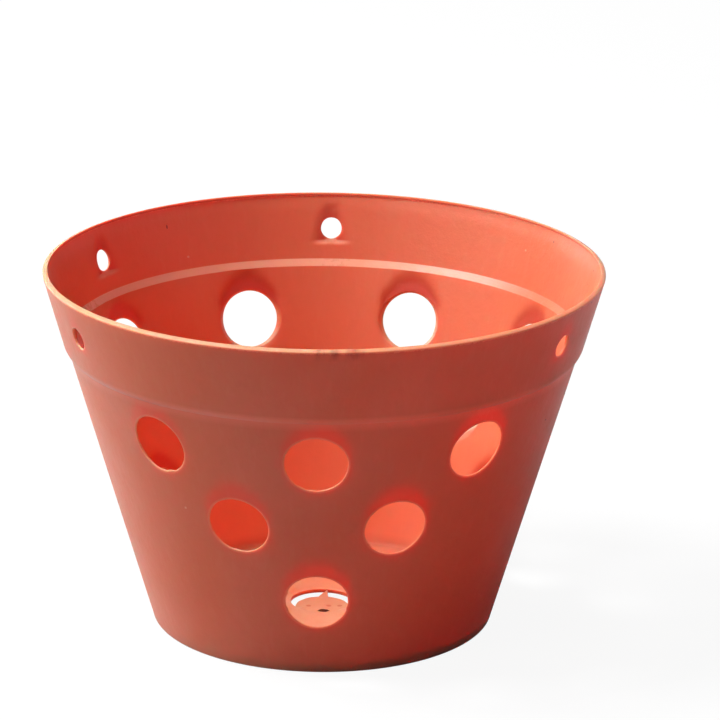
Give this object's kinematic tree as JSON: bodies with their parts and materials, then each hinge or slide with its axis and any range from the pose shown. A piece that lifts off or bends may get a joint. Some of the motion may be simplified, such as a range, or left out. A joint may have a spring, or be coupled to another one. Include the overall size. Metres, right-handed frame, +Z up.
{
  "type": "orchid pot",
  "caption": "Round tapered plastic orchid pot with rows of round air holes, a wider collar with holes for hanging wires, and an open drain in a floor raised on a foot ring.",
  "frame": {"origin": "on the pot's axis, at the level of the surface that it stands on", "axes": "+Z up along the pot's axis; -Y towards the middle of one group of air holes, which faces the viewer in the picture; +X to the viewer's right"},
  "size_m": [0.15, 0.15, 0.098],
  "materials": {
    "pot_plastic": "thin terracotta-red polypropylene, satin, slightly see-through against light"
  },
  "bodies": {
    "root": {"rim_collar": "pot_plastic", "side_wall": "pot_plastic", "pot_floor": "pot_plastic", "gate_web": "pot_plastic"}
  },
  "joints": []
}
